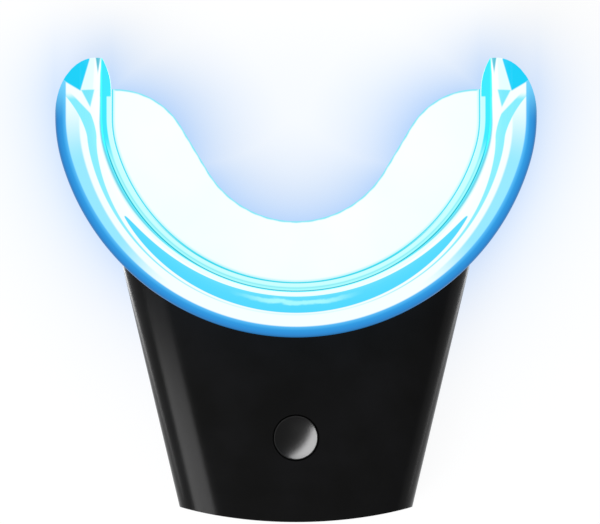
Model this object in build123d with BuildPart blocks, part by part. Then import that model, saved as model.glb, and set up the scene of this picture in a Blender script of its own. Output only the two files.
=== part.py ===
from build123d import *

import os
from math import asin, atan2, cos, degrees, radians, sin, sqrt, tan

os.makedirs("parts", exist_ok=True)

# Cordless teeth whitening lamp, in millimetres. X runs across the mouth, +Y towards the molars, +Z up.
# The origin is at the centre of the footprint, on the surface that the lamp rests on.

# Mouth tray: its rim seen from above
tray_width = 65.0
tray_front_y = -6.4
tray_tip_y = 31.4
side_radius = 22.0
side_arc_angle = 16.8
# Mouth tray: its wall in section
tray_height = 23.0
tray_wall = 1.4
rim_bead_radius = 0.8
flange_depth = 6.2
waist_half_height = 2.4
tip_corner_radius = 4.3
tip_margin = 0.2
tip_taper_radius = 9.0
ledge_depth = 1.2
ledge_half_height = 2.1
slot_depth = 0.9
# Collar that plugs the tray into the housing
collar_reach = 17.3
collar_inner_half_height = 4.2
collar_wall = 1.2
collar_length = 3.6
# Bite plate
plate_thickness = 2.6
plate_tongue_thickness = 1.4
plate_end_y = 27.2
plate_edge_round = 0.6
plate_corner_round = 1.0
arch_front_y = 9.3
arch_flank_angle = 31.0
molar_radius = 10.4
molar_inset = 8.0
# Housing
housing_nose_y = -31.4
housing_rear_y = 8.5
nose_radius = 64.0
nose_round = 0.8
waist_half_width = 24.7
waist_y = 8.0
side_taper = 13.4
housing_height = 17.5
crown_radius = 90.0
shoulder_radius = 6.5
keel_radius = 4.0
chin_length = 11.4
chin_rise = 2.4
sole_cut = 0.05
shell_wall = 1.6
parting_z = 8.4
lap_height = 1.2
# Light unit behind the tray's front wall
window_thickness = 1.6
led_columns = 8
led_pitch = 4.76
led_row_offset = 1.9
led_width = 2.0
led_height = 1.6
led_thickness = 0.7
led_lens_diameter = 1.2
led_lens_depth = 0.2
led_lens_taper = 30.0
led_board_thickness = 0.8
led_border = 0.15
# Circuit board and battery
board_z = 9.0
board_thickness = 1.0
board_edge_gap = 0.6
board_rear_y = -3.5
chip_size = 4.0
chip_height = 0.85
charger_size = 3.0
coil_size = 4.0
coil_height = 1.8
chip_round = 0.2
chip_gap = 0.5
coil_round = 0.8
capacitor_length = 1.6
capacitor_width = 0.8
resistor_length = 1.0
resistor_width = 0.5
resistor_height = 0.35
solder_round = 0.05
connector_width = 8.0
connector_depth = 2.6
connector_height = 1.2
connector_y = -9.6
flex_width = 6.0
flex_thickness = 0.3
flex_bend = 0.5
flex_drop_y = -6.7
lead_diameter = 0.8
lead_spacing = 3.0
battery_width = 20.0
battery_length = 18.0
battery_thickness = 4.6
battery_z = 3.0
battery_rear_y = -9.6
foam_length = 9.5
rib_wall = 1.0
rib_height = 3.4
# Button and switch
button_y = -20.0
button_diameter = 6.0
dish_depth = 0.9
button_sink = 0.15
button_flange = 0.9
button_flange_width = 0.6
button_travel = 0.4
guide_length = 2.2
guide_wall = 1.1
switch_size = 5.2
switch_height = 1.6
plunger_diameter = 2.4
plunger_height = 0.8
# Charging socket
port_width = 8.94
port_height = 3.26
port_length = 6.8
port_wall = 0.3
port_recess = 0.4
tongue_width = 6.7
tongue_thickness = 0.7
tongue_recess = 1.0
contact_count = 12
contact_pitch = 0.5
contact_width = 0.28
contact_thickness = 0.1
gasket_band = 0.8
gasket_thickness = 0.8
# Fasteners
screw_x = 12.6
screw_y = -21.5
screw_diameter = 1.6
screw_head_diameter = 2.8
screw_head_height = 0.9
screw_length = 4.5
screw_slot_width = 0.4
screw_slot_length = 2.0
boss_wall = 1.1
# Clearances
tray_clearance = 0.35
seat_clearance = 0.1
port_clearance = 0.15
button_clearance = 0.15
lap_clearance = 0.1
press_gap = 0.05
solder_gap = 0.05

# The rim is two side arcs that meet one wide front arc at a tangent.
half_width = tray_width / 2
mid_z = tray_height / 2
side_x = half_width - side_radius
front_radius = side_radius + side_x / cos(radians(side_arc_angle))
front_centre_y = tray_front_y + front_radius
tray_widest_y = front_centre_y - side_x * tan(radians(side_arc_angle))

# The flange curls out from the waist to the bead on one arc.
wall_root = flange_depth - tray_wall
flare = flange_depth - tray_wall / 2 - rim_bead_radius
rise = mid_z - waist_half_height - rim_bead_radius
flare_radius = (flare**2 + rise**2) / (2 * flare)
flare_angle = 2 * degrees(atan2(flare, rise))
flare_centre_x = flange_depth - tray_wall / 2 - flare_radius

# Radii about the front arc's centre, from the tray's waist out to the light board's back.
waist_radius = front_radius - wall_root
collar_angle = degrees(asin(collar_reach / waist_radius))
window_inner = waist_radius + seat_clearance
window_outer = window_inner + window_thickness
reflector_inner = window_outer + seat_clearance
board_inner = reflector_inner + led_thickness + led_border
board_outer = board_inner + led_board_thickness
collar_outer = waist_radius + collar_length
stack_half_height = collar_inner_half_height - seat_clearance
stack_angle = collar_angle - degrees(seat_clearance / window_inner)
mouth_half_height = collar_inner_half_height + collar_wall + seat_clearance
mouth_angle = collar_angle + degrees((collar_wall + seat_clearance) / waist_radius)

board_top = board_z + board_thickness
ceiling_z = housing_height - shell_wall
screw_places = [(-screw_x, screw_y), (screw_x, screw_y)]


def half_width_at(y):
    return waist_half_width - (waist_y - y) * tan(radians(side_taper))


def arch_line(inset, end_y):
    # The rim's own line, or one inset from it, from the left tip round the front to the right tip.
    x = half_width - inset
    with BuildLine() as line:
        Line((-x, end_y), (-x, tray_widest_y))
        CenterArc((-side_x, tray_widest_y), side_radius - inset, 180, side_arc_angle)
        front = 180 - 2 * side_arc_angle
        CenterArc((0, front_centre_y), front_radius - inset, 180 + side_arc_angle, front)
        CenterArc((side_x, tray_widest_y), side_radius - inset, -side_arc_angle, side_arc_angle)
        Line((x, tray_widest_y), (x, end_y))
    return line.line


def front_band(inner, outer, angle):
    # Part of a ring about the front arc's centre, spread to both sides of the middle.
    with BuildSketch() as band:
        with BuildLine():
            CenterArc((0, front_centre_y), inner, 270 - angle, 2 * angle)
            CenterArc((0, front_centre_y), outer, 270 - angle, 2 * angle)
            for side in (-1, 1):
                turn = radians(270 + side * angle)
                start = (inner * cos(turn), front_centre_y + inner * sin(turn))
                Line(start, (outer * cos(turn), front_centre_y + outer * sin(turn)))
        make_face()
    return band.sketch


def wall_section():
    # Inner and outer arcs of the wall above and below the waist, with a round bead along each rim.
    inner = flare_radius + tray_wall / 2
    outer = flare_radius - tray_wall / 2
    with BuildSketch(section_plane) as section:
        with BuildLine():
            for side in (-1, 1):
                centre = (flare_centre_x, side * waist_half_height)
                turn = side * flare_angle
                CenterArc(centre, inner, 0, turn)
                CenterArc(centre, outer, 0, turn)
                along = (cos(radians(turn)), sin(radians(turn)))
                start = (centre[0] + inner * along[0], centre[1] + inner * along[1])
                Line(start, (centre[0] + outer * along[0], centre[1] + outer * along[1]))
            for x in (flange_depth, wall_root):
                Line((x, -waist_half_height), (x, waist_half_height))
        make_face()
        bead_z = mid_z - rim_bead_radius
        with Locations((rim_bead_radius, bead_z), (rim_bead_radius, -bead_z)):
            Circle(rim_bead_radius)
    return section.sketch


def envelope_section(gap):
    # All that the tray fills, grown by a gap, with everything on the teeth's side of it.
    reach = flange_depth + 2 * rim_bead_radius
    radius = flare_radius - tray_wall / 2 - gap
    edge_x = flare_centre_x + radius * cos(radians(flare_angle))
    edge_z = waist_half_height + radius * sin(radians(flare_angle))
    with BuildSketch(section_plane) as section:
        with BuildLine():
            Line((wall_root - gap, -waist_half_height), (wall_root - gap, waist_half_height))
            for side in (-1, 1):
                CenterArc((flare_centre_x, side * waist_half_height), radius, 0, side * flare_angle)
                far = side * tray_height
                Polyline((edge_x, side * edge_z), (edge_x, far), (reach, far), (reach, 0))
        make_face()
        bead_z = mid_z - rim_bead_radius
        with Locations((rim_bead_radius, bead_z), (rim_bead_radius, -bead_z)):
            Circle(rim_bead_radius + gap)
    return section.sketch


def housing_section(y, inset):
    # Underside, rounded keel, upright sides, rounded shoulders and a slightly crowned top.
    half = half_width_at(y) - inset
    low = inset - sole_cut
    keel = keel_radius - inset
    shoulder = shoulder_radius - inset
    crown = crown_radius - inset
    crown_z = housing_height - crown_radius
    shoulder_x = half - shoulder
    shoulder_z = crown_z + sqrt((crown - shoulder) ** 2 - shoulder_x**2)
    tilt = degrees(atan2(shoulder_z - crown_z, shoulder_x))
    with BuildSketch(Plane.XZ.offset(-y)) as section:
        with BuildLine():
            Line((-half + keel, low), (half - keel, low))
            CenterArc((half - keel, low + keel), keel, 270, 90)
            Line((half, low + keel), (half, shoulder_z))
            CenterArc((shoulder_x, shoulder_z), shoulder, 0, tilt)
            CenterArc((0, crown_z), crown, tilt, 180 - 2 * tilt)
            CenterArc((-shoulder_x, shoulder_z), shoulder, 180 - tilt, tilt)
            Line((-half, shoulder_z), (-half, low + keel))
            CenterArc((-half + keel, low + keel), keel, 180, 90)
        make_face()
    return section.sketch


# The plane across the start of the rim line, a little past the tips, where the tray's sections are drawn
rim_end_y = tray_tip_y + tray_wall
section_plane = Plane(origin=(-half_width, rim_end_y, mid_z), x_dir=(1, 0, 0), z_dir=(0, -1, 0))
rim_path = Pos(0, 0, mid_z) * arch_line(0, rim_end_y)


def tray_envelope(gap):
    with BuildPart() as envelope:
        add(envelope_section(gap))
        sweep(path=rim_path)
    return envelope.part


def housing_block(inset):
    # The housing as one solid, inset all round, before its mouth end is cut to the tray.
    chin_y = housing_nose_y + chin_length
    chin_radius = (chin_length**2 + chin_rise**2) / (2 * chin_rise)
    with BuildPart() as block:
        for y in (housing_rear_y - inset, housing_nose_y - nose_round):
            add(housing_section(y, inset))
        loft(ruled=True)
        # Cut level, so that the sole it rests on is a true plane
        split(bisect_by=Plane.XY.offset(inset), keep=Keep.TOP)
        with BuildSketch():
            with Locations((0, housing_nose_y + nose_radius)):
                Circle(nose_radius - inset)
        extrude(amount=housing_height, mode=Mode.INTERSECT)
        with BuildSketch(Plane.YZ):
            with Locations((chin_y - chin_length, 0)):
                Rectangle(2 * chin_length, chin_radius)
            with Locations((chin_y, chin_radius)):
                Circle(chin_radius - inset, mode=Mode.SUBTRACT)
        extrude(amount=waist_half_width, both=True, mode=Mode.SUBTRACT)
        if inset == 0:
            nose = block.faces().sort_by(Axis.Y)[0]
            fillet(nose.edges(), nose_round)
    return block.part


def housing_form(inset):
    # The housing with its mouth end nested against the tray's wall and flanges.
    with BuildPart() as form:
        add(housing_block(inset))
        with BuildSketch():
            with Locations((0, front_centre_y)):
                Circle(waist_radius - tray_wall)
        extrude(amount=housing_height, mode=Mode.SUBTRACT)
        add(tray_envelope(tray_clearance + inset), mode=Mode.SUBTRACT)
    return form.part


def arch_band(outer_inset, inner_inset, end_y):
    # The strip between two lines inset from the rim, square across at its ends.
    with BuildSketch() as band:
        with BuildLine():
            add(arch_line(outer_inset, end_y))
            add(arch_line(inner_inset, end_y))
            for side in (-1, 1):
                Line(
                    (side * (half_width - outer_inset), end_y),
                    (side * (half_width - inner_inset), end_y),
                )
        make_face()
    return band.sketch


outer_form = housing_form(0)
inner_form = housing_form(shell_wall)
lap_form = housing_block(shell_wall / 2)
lap_recess_form = housing_block(shell_wall / 2 - lap_clearance)

# Mouth tray: flanged wall, ledge for the bite plate, and the collar behind the front wall
ledge_inset = flange_depth + ledge_depth
slot_inset = ledge_inset - slot_depth
tongue_half = plate_tongue_thickness / 2
with BuildPart() as mouth_tray:
    add(wall_section())
    sweep(path=rim_path)
    with BuildSketch(Plane.YZ):
        with Locations((tray_tip_y, mid_z)):
            side_height = tray_height + 2 * tip_margin
            align = (Align.MAX, Align.CENTER)
            RectangleRounded(2 * tray_width, side_height, tip_corner_radius, align=align)
    extrude(amount=tray_width, both=True, mode=Mode.INTERSECT)
    with BuildSketch(Plane.XY.offset(mid_z)):
        add(arch_band(flange_depth - tray_wall / 2, ledge_inset, plate_end_y))
        for side in (-1, 1):
            taper_start = (side * (half_width - ledge_inset), plate_end_y)
            taper_end = (side * (half_width - flange_depth), tray_tip_y - tray_wall / 2)
            taper_root = (side * (half_width - wall_root), plate_end_y)
            with BuildLine():
                RadiusArc(taper_start, taper_end, -side * tip_taper_radius)
                Polyline(taper_end, taper_root, taper_start)
            make_face()
    extrude(amount=ledge_half_height, both=True)
    with BuildSketch(Plane.XY.offset(mid_z)):
        add(arch_band(slot_inset, ledge_inset + slot_depth, plate_end_y))
    extrude(amount=tongue_half + seat_clearance, both=True, mode=Mode.SUBTRACT)
    collar_half_height = collar_inner_half_height + collar_wall
    collar_full_angle = collar_angle + degrees(collar_wall / waist_radius)
    with BuildSketch(Plane.XY.offset(mid_z)):
        add(front_band(waist_radius - tray_wall / 2, collar_outer, collar_full_angle))
    extrude(amount=collar_half_height, both=True)
    with BuildSketch(Plane.XY.offset(mid_z)):
        add(front_band(waist_radius, collar_outer + collar_wall, collar_angle))
    extrude(amount=collar_inner_half_height, both=True, mode=Mode.SUBTRACT)
mouth_tray.part.label = "mouth_tray"
export_step(mouth_tray.part, "parts/mouth_tray.step")

# Bite plate: a wide horseshoe whose outer tongue sits in the tray's slot
plate_inset = ledge_inset + seat_clearance
molar_x = half_width - molar_inset
molar_y = plate_end_y - molar_radius
across = cos(radians(arch_flank_angle))
along = sin(radians(arch_flank_angle))
# The arch's radius that lets each straight flank meet the arch and the molar's curve at a tangent
arch_radius = (across * molar_x + along * (arch_front_y - molar_y) - molar_radius) / (1 - along)
arch_centre_y = arch_front_y + arch_radius
with BuildPart() as bite_plate:
    with BuildSketch(Plane.XY.offset(mid_z)):
        with BuildLine():
            add(arch_line(plate_inset, plate_end_y))
            for side in (-1, 1):
                inner_x = molar_x - molar_radius * across
                inner_y = molar_y + molar_radius * along
                arch_x = arch_radius * across
                arch_y = arch_centre_y - arch_radius * along
                swing = arch_flank_angle - 90
                Line(
                    (side * (half_width - plate_inset), plate_end_y),
                    (side * molar_x, plate_end_y),
                )
                CenterArc((side * molar_x, molar_y), molar_radius, 90, -side * swing)
                Line((side * inner_x, inner_y), (side * arch_x, arch_y))
            arch_spread = 180 - 2 * arch_flank_angle
            CenterArc((0, arch_centre_y), arch_radius, 180 + arch_flank_angle, arch_spread)
        make_face()
    extrude(amount=plate_thickness / 2, both=True)
    flats = bite_plate.faces().filter_by(Axis.Z)
    fillet(flats.edges(), plate_edge_round)
    with BuildSketch(Plane.XY.offset(mid_z)):
        tongue_inset = slot_inset + seat_clearance
        add(arch_band(tongue_inset, plate_inset + plate_edge_round, plate_end_y - plate_corner_round))
    extrude(amount=tongue_half, both=True)
bite_plate.part.label = "bite_plate"
export_step(bite_plate.part, "parts/bite_plate.step")

# Light unit: clear window, white reflector with a hole for each light, and the curved light board
with BuildPart() as light_window:
    with BuildSketch(Plane.XY.offset(mid_z)):
        add(front_band(window_inner, window_outer, stack_angle))
    extrude(amount=stack_half_height, both=True)
    fillet(light_window.edges().filter_by(Axis.Z), window_thickness / 4)
light_window.part.label = "light_window"
export_step(light_window.part, "parts/light_window.step")

led_planes = []
for column in range(led_columns):
    turn = radians(270) + (column - (led_columns - 1) / 2) * led_pitch / board_inner
    outward = Vector(cos(turn), sin(turn), 0)
    for row in (1, -1):
        place = Vector(0, front_centre_y, mid_z + row * led_row_offset) + outward * board_inner
        led_planes.append(Plane(origin=place, x_dir=(-sin(turn), cos(turn), 0), z_dir=-outward))

with BuildPart() as led_reflector:
    with BuildSketch(Plane.XY.offset(mid_z)):
        add(front_band(reflector_inner, board_inner, stack_angle))
    extrude(amount=stack_half_height, both=True)
    with BuildSketch(*led_planes):
        Rectangle(led_width + 2 * seat_clearance, led_height + 2 * seat_clearance)
    extrude(amount=2 * led_thickness, both=True, mode=Mode.SUBTRACT)
led_reflector.part.label = "led_reflector"
export_step(led_reflector.part, "parts/led_reflector.step")

with BuildPart() as led_board:
    with BuildSketch(Plane.XY.offset(mid_z)):
        add(front_band(board_inner, board_outer, stack_angle))
    extrude(amount=stack_half_height, both=True)
led_board.part.label = "led_board"
export_step(led_board.part, "parts/led_board.step")

for number, led_plane in enumerate(led_planes, start=1):
    with BuildPart() as led:
        with BuildSketch(led_plane.offset(solder_gap)):
            Rectangle(led_width, led_height)
        extrude(amount=led_thickness - solder_gap)
        with BuildSketch(led_plane.offset(led_thickness)):
            Circle(led_lens_diameter / 2)
        extrude(amount=-led_lens_depth, taper=led_lens_taper, mode=Mode.SUBTRACT)
    led_name = f"led_{number:02d}"
    led.part.label = led_name
    export_step(led.part, f"parts/{led_name}.step")

seal_inner = collar_outer + press_gap
seal_outer = seal_inner + gasket_band
with BuildPart() as collar_seal:
    with BuildSketch(Plane.XY.offset(mid_z)):
        add(front_band(seal_inner, seal_outer, collar_full_angle))
    extrude(amount=collar_half_height, both=True)
    with BuildSketch(Plane.XY.offset(mid_z)):
        add(front_band(seal_inner - press_gap, seal_outer + press_gap, collar_angle))
    extrude(amount=collar_inner_half_height, both=True, mode=Mode.SUBTRACT)
collar_seal.part.label = "collar_seal"
export_step(collar_seal.part, "parts/collar_seal.step")

# Heights of the button's stack, from the switch on the board up to the dished top
switch_top = board_top + switch_height
plunger_top = switch_top + plunger_height
guide_end_z = ceiling_z - guide_length
flange_top = guide_end_z - press_gap
button_top = housing_height - button_sink
hole_diameter = button_diameter + 2 * button_clearance
button_plane = Plane(origin=(0, button_y, 0))
port_z = board_top + port_height / 2
port_mouth_y = housing_nose_y + port_recess

# Mouth of the housing, open for the collar, the window and the light board
with BuildPart() as mouth_block:
    with BuildSketch(Plane.XY.offset(mid_z)):
        add(front_band(waist_radius - shell_wall, seal_outer + seat_clearance, mouth_angle))
    extrude(amount=mouth_half_height, both=True)

# Bosses that hang from the top shell's ceiling, ended inside its wall
with BuildPart() as ceiling_bosses:
    with BuildSketch(Plane.XY.offset(board_top)):
        with Locations(*screw_places):
            Circle(screw_diameter / 2 + boss_wall)
    extrude(amount=housing_height)
    with BuildSketch(Plane.XY.offset(guide_end_z)):
        with Locations((0, button_y)):
            Circle(hole_diameter / 2 + guide_wall)
    extrude(amount=housing_height)
    add(lap_form, mode=Mode.INTERSECT)

lap_start = seal_outer + shell_wall
with BuildPart() as lap_recess:
    add(lap_recess_form)
    with BuildSketch(Plane.XY.offset(parting_z)):
        Rectangle(2 * tray_width, 2 * tray_width)
        with Locations((0, front_centre_y)):
            Circle(lap_start - lap_clearance, mode=Mode.SUBTRACT)
    extrude(amount=lap_height + lap_clearance, mode=Mode.INTERSECT)

with BuildPart() as top_shell:
    add(outer_form)
    add(inner_form, mode=Mode.SUBTRACT)
    add(ceiling_bosses.part)
    split(bisect_by=Plane.XY.offset(parting_z), keep=Keep.TOP)
    add(lap_recess.part, mode=Mode.SUBTRACT)
    add(mouth_block.part, mode=Mode.SUBTRACT)
    with BuildSketch(Plane.XY.offset(guide_end_z)):
        with Locations((0, button_y)):
            Circle(hole_diameter / 2)
    extrude(amount=housing_height, mode=Mode.SUBTRACT)
    with BuildSketch(Plane.XY.offset(board_top)):
        with Locations(*screw_places):
            Circle(screw_diameter / 2 + seat_clearance / 2)
    extrude(amount=screw_length - board_thickness + seat_clearance, mode=Mode.SUBTRACT)
    with BuildSketch(Plane.XZ.offset(-housing_nose_y - shell_wall * 2)):
        with Locations((0, port_z)):
            SlotOverall(port_width + 2 * port_clearance, port_height + 2 * port_clearance)
    extrude(amount=shell_wall * 3, mode=Mode.SUBTRACT)
top_shell.part.label = "top_shell"
export_step(top_shell.part, "parts/top_shell.step")

# Bottom shell, with the lip that rises inside the top shell and the ribs that pen the battery
with BuildPart() as lap_lip:
    add(lap_form)
    with BuildSketch(Plane.XY.offset(parting_z)):
        Rectangle(2 * tray_width, 2 * tray_width)
        with Locations((0, front_centre_y)):
            Circle(lap_start, mode=Mode.SUBTRACT)
    extrude(amount=lap_height, mode=Mode.INTERSECT)
    add(housing_block(shell_wall), mode=Mode.SUBTRACT)

battery_y = battery_rear_y - battery_length / 2
rib_x = battery_width / 2 + seat_clearance + rib_wall / 2
rib_y = battery_length / 2 + seat_clearance + rib_wall / 2
with BuildPart() as battery_ribs:
    with BuildSketch(Plane.XY):
        with Locations((-rib_x, battery_y), (rib_x, battery_y)):
            Rectangle(rib_wall, battery_length / 2)
        with Locations((0, battery_y - rib_y), (0, battery_y + rib_y)):
            Rectangle(battery_width / 2, rib_wall)
    extrude(amount=battery_z + rib_height)
    add(lap_form, mode=Mode.INTERSECT)

with BuildPart() as bottom_shell:
    add(outer_form)
    add(inner_form, mode=Mode.SUBTRACT)
    split(bisect_by=Plane.XY.offset(parting_z), keep=Keep.BOTTOM)
    add(lap_lip.part)
    add(mouth_block.part, mode=Mode.SUBTRACT)
    add(battery_ribs.part)
bottom_shell.part.label = "bottom_shell"
export_step(bottom_shell.part, "parts/bottom_shell.step")

# Button: a dished cap whose flange stays under the guide and whose stem meets the switch
cap_radius = button_diameter / 2
dish_radius = ((cap_radius - button_sink) ** 2 + dish_depth**2) / (2 * dish_depth)
with BuildPart() as button_cap:
    with BuildSketch(Plane.XZ.offset(-button_y)):
        with BuildLine():
            Polyline(
                (0, plunger_top + press_gap),
                (plunger_diameter / 2, plunger_top + press_gap),
                (plunger_diameter / 2, flange_top - button_flange),
                (cap_radius + button_flange_width, flange_top - button_flange),
                (cap_radius + button_flange_width, flange_top),
                (cap_radius, flange_top),
                (cap_radius, button_top),
                (cap_radius - button_sink, button_top),
            )
            dish_centre_z = button_top - dish_depth + dish_radius
            dish_turn = degrees(atan2(cap_radius - button_sink, dish_radius - dish_depth))
            CenterArc((0, dish_centre_z), dish_radius, 270, dish_turn)
            Line((0, button_top - dish_depth), (0, plunger_top + press_gap))
        make_face()
    revolve(axis=Axis((0, button_y, 0), (0, 0, 1)))
button_cap.part.label = "button_cap"
export_step(button_cap.part, "parts/button_cap.step")

with BuildPart() as switch_plunger:
    with BuildSketch(Plane.XY.offset(switch_top - button_travel)):
        with Locations((0, button_y)):
            Circle(plunger_diameter / 2)
    extrude(amount=button_travel + plunger_height)
    chamfer(switch_plunger.faces().sort_by(Axis.Z)[-1].edges(), plunger_height / 5)
switch_plunger.part.label = "switch_plunger"
export_step(switch_plunger.part, "parts/switch_plunger.step")

with BuildPart() as tact_switch:
    with BuildSketch(Plane.XY.offset(board_top)):
        with Locations((0, button_y)):
            Rectangle(switch_size, switch_size)
    extrude(amount=switch_height)
    chamfer(tact_switch.edges().filter_by(Axis.Z), switch_size / 10)
    with BuildSketch(Plane.XY.offset(switch_top)):
        with Locations((0, button_y)):
            Circle(plunger_diameter / 2 + press_gap)
    extrude(amount=-2 * button_travel - press_gap, mode=Mode.SUBTRACT)
tact_switch.part.label = "tact_switch"
export_step(tact_switch.part, "parts/tact_switch.step")

# Main board, cut back round the light unit and shaped to the nose, with its screws
nose_inner = nose_radius - shell_wall
gasket_inner_width = port_width + 2 * press_gap
gasket_outer_width = gasket_inner_width + 2 * gasket_band
gasket_sag = nose_inner - sqrt(nose_inner**2 - (gasket_outer_width / 2) ** 2)
gasket_y = housing_nose_y + shell_wall + gasket_sag + seat_clearance
board_front_y = gasket_y + gasket_thickness + seat_clearance
board_slot = seal_outer + 2 * board_edge_gap
with BuildPart() as main_board:
    with BuildSketch(Plane.XY.offset(board_z)):
        with BuildLine():
            side_gap = shell_wall + board_edge_gap
            corners = []
            for side, y in (
                (-1, board_front_y),
                (1, board_front_y),
                (1, board_rear_y),
                (-1, board_rear_y),
            ):
                corners.append((side * (half_width_at(y) - side_gap), y))
            Polyline(*corners, close=True)
        make_face()
        with Locations((0, front_centre_y)):
            Circle(board_slot, mode=Mode.SUBTRACT)
        with Locations((0, housing_nose_y + nose_radius)):
            Circle(nose_radius - side_gap, mode=Mode.INTERSECT)
        with Locations(*screw_places):
            Circle(screw_diameter / 2 + seat_clearance, mode=Mode.SUBTRACT)
    extrude(amount=board_thickness)
    chamfer(main_board.edges().filter_by(Axis.Z).group_by(Axis.Y)[0], board_edge_gap)
main_board.part.label = "main_board"
export_step(main_board.part, "parts/main_board.step")

with BuildPart() as board_screws:
    with BuildSketch(Plane.XY.offset(board_z)):
        with Locations(*screw_places):
            Circle(screw_head_diameter / 2)
    extrude(amount=-screw_head_height)
    fillet(board_screws.faces().sort_by(Axis.Z)[0:2].edges(), screw_head_height / 3)
    with BuildSketch(Plane.XY.offset(board_z)):
        with Locations(*screw_places):
            Circle(screw_diameter / 2)
    extrude(amount=screw_length)
    with BuildSketch(Plane.XY.offset(board_z - screw_head_height)):
        with Locations(*screw_places):
            Rectangle(screw_slot_length, screw_slot_width)
            Rectangle(screw_slot_width, screw_slot_length)
    extrude(amount=screw_head_height / 2, mode=Mode.SUBTRACT)
board_screws.part.label = "board_screws"
export_step(board_screws.part, "parts/board_screws.step")


def board_block(name, places, length, width, height, round_off):
    # One kind of surface-mounted piece, with its upright edges eased.
    with BuildPart() as block:
        with BuildSketch(Plane.XY.offset(board_top)):
            with Locations(*places):
                Rectangle(length, width)
        extrude(amount=height)
        fillet(block.edges().filter_by(Axis.Z), round_off)
    block.part.label = name
    export_step(block.part, f"parts/{name}.step")


left_x = -(switch_size + chip_size)
right_x = switch_size + coil_size
chip_y = button_y + switch_size * 1.5
board_block("controller_chip", [(left_x, chip_y)], chip_size, chip_size, chip_height, chip_round)
charger_y = chip_y - coil_size / 2 - charger_size / 2 - chip_gap
board_block("charger_chip", [(right_x, charger_y)], charger_size, charger_size, chip_height, chip_round)
board_block("driver_coil", [(right_x, chip_y)], coil_size, coil_size, coil_height, coil_round)
capacitor_places = []
resistor_places = []
for index in (-1, 0, 1):
    capacitor_step = index * capacitor_length
    resistor_step = index * resistor_length * 1.5
    capacitor_places.append((left_x, chip_y - chip_size - chip_gap + capacitor_step))
    capacitor_places.append((right_x, chip_y + coil_size + chip_gap + capacitor_step))
    resistor_places.append((left_x - chip_size, chip_y + resistor_step))
    resistor_places.append((left_x + chip_size, chip_y + resistor_step))
board_block(
    "capacitors", capacitor_places, capacitor_length, capacitor_width, capacitor_width, solder_round
)
board_block(
    "resistors", resistor_places, resistor_length, resistor_width, resistor_height, solder_round
)

# Ribbon from the light board down to its connector on the main board
with BuildPart() as ribbon_connector:
    with BuildSketch(Plane.XY.offset(board_top)):
        with Locations((0, connector_y)):
            Rectangle(connector_width, connector_depth)
    extrude(amount=connector_height)
    with BuildSketch(Plane.XZ.offset(-connector_y - connector_depth / 2)):
        with Locations((0, board_top + connector_height / 2)):
            Rectangle(flex_width + 2 * seat_clearance, flex_thickness + seat_clearance)
    extrude(amount=connector_depth / 2, mode=Mode.SUBTRACT)
ribbon_connector.part.label = "ribbon_connector"
export_step(ribbon_connector.part, "parts/ribbon_connector.step")

ribbon_top_z = mid_z + led_row_offset
ribbon_low_z = board_top + connector_height / 2
ribbon_start_y = front_centre_y - board_outer - seat_clearance
ribbon_end_y = connector_y + seat_clearance
with BuildPart() as ribbon_cable:
    with BuildSketch(Plane.YZ):
        with BuildLine() as ribbon_line:
            FilletPolyline(
                (ribbon_start_y, ribbon_top_z),
                (flex_drop_y, ribbon_top_z),
                (flex_drop_y, ribbon_low_z),
                (ribbon_end_y, ribbon_low_z),
                radius=flex_bend,
            )
        trace(line_width=flex_thickness)
    extrude(amount=flex_width / 2, both=True)
ribbon_cable.part.label = "ribbon_cable"
export_step(ribbon_cable.part, "parts/ribbon_cable.step")

# Battery in its foam, with two leads up to the board
with BuildPart() as battery_cell:
    with BuildSketch(Plane.XY.offset(battery_z)):
        with Locations((0, battery_y)):
            Rectangle(battery_width, battery_length)
    extrude(amount=battery_thickness)
    fillet(battery_cell.edges().filter_by(Axis.Y), battery_thickness / 3)
    fillet(battery_cell.faces().sort_by(Axis.Y)[0].edges(), battery_thickness / 10)
battery_cell.part.label = "battery_cell"
export_step(battery_cell.part, "parts/battery_cell.step")

with BuildPart() as battery_foam:
    with BuildSketch(Plane.XY.offset(shell_wall + press_gap)):
        with Locations((0, battery_rear_y - foam_length / 2)):
            Rectangle(battery_width - 2 * rib_wall, foam_length)
    extrude(amount=battery_z - shell_wall - 2 * press_gap)
battery_foam.part.label = "battery_foam"
export_step(battery_foam.part, "parts/battery_foam.step")

lead_z = battery_z + battery_thickness * 0.8
lead_y = battery_rear_y + rib_wall + 2 * lead_diameter
with BuildPart() as battery_leads:
    for side in (-1, 1):
        lead_x = side * (battery_width / 4 + lead_spacing / 2)
        with BuildSketch(Plane.XZ.offset(-battery_rear_y)):
            with Locations((lead_x, lead_z)):
                Circle(lead_diameter / 2)
        with BuildLine():
            FilletPolyline(
                (lead_x, battery_rear_y, lead_z),
                (lead_x, lead_y, lead_z),
                (lead_x, lead_y, board_z),
                radius=lead_diameter,
            )
        sweep()
battery_leads.part.label = "battery_leads"
export_step(battery_leads.part, "parts/battery_leads.step")

# Charging socket at the nose, with its tongue, contacts and gasket
port_plane = Plane.XZ.offset(-port_mouth_y)
with BuildPart() as port_shell:
    with BuildSketch(port_plane):
        with Locations((0, port_z)):
            SlotOverall(port_width, port_height)
            inner_height = port_height - 2 * port_wall
            SlotOverall(port_width - 2 * port_wall, inner_height, mode=Mode.SUBTRACT)
    extrude(amount=-port_length)
port_shell.part.label = "port_shell"
export_step(port_shell.part, "parts/port_shell.step")

with BuildPart() as port_tongue:
    with BuildSketch(Plane.XZ.offset(-port_mouth_y - tongue_recess)):
        with Locations((0, port_z)):
            Rectangle(tongue_width, tongue_thickness)
    extrude(amount=-port_length + tongue_recess)
    with BuildSketch(Plane.XZ.offset(-port_mouth_y - port_length)):
        with Locations((0, port_z)):
            plug_trim = 2 * (port_wall + press_gap)
            SlotOverall(port_width - plug_trim, port_height - plug_trim)
    extrude(amount=tongue_recess)
port_tongue.part.label = "port_tongue"
export_step(port_tongue.part, "parts/port_tongue.step")

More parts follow.
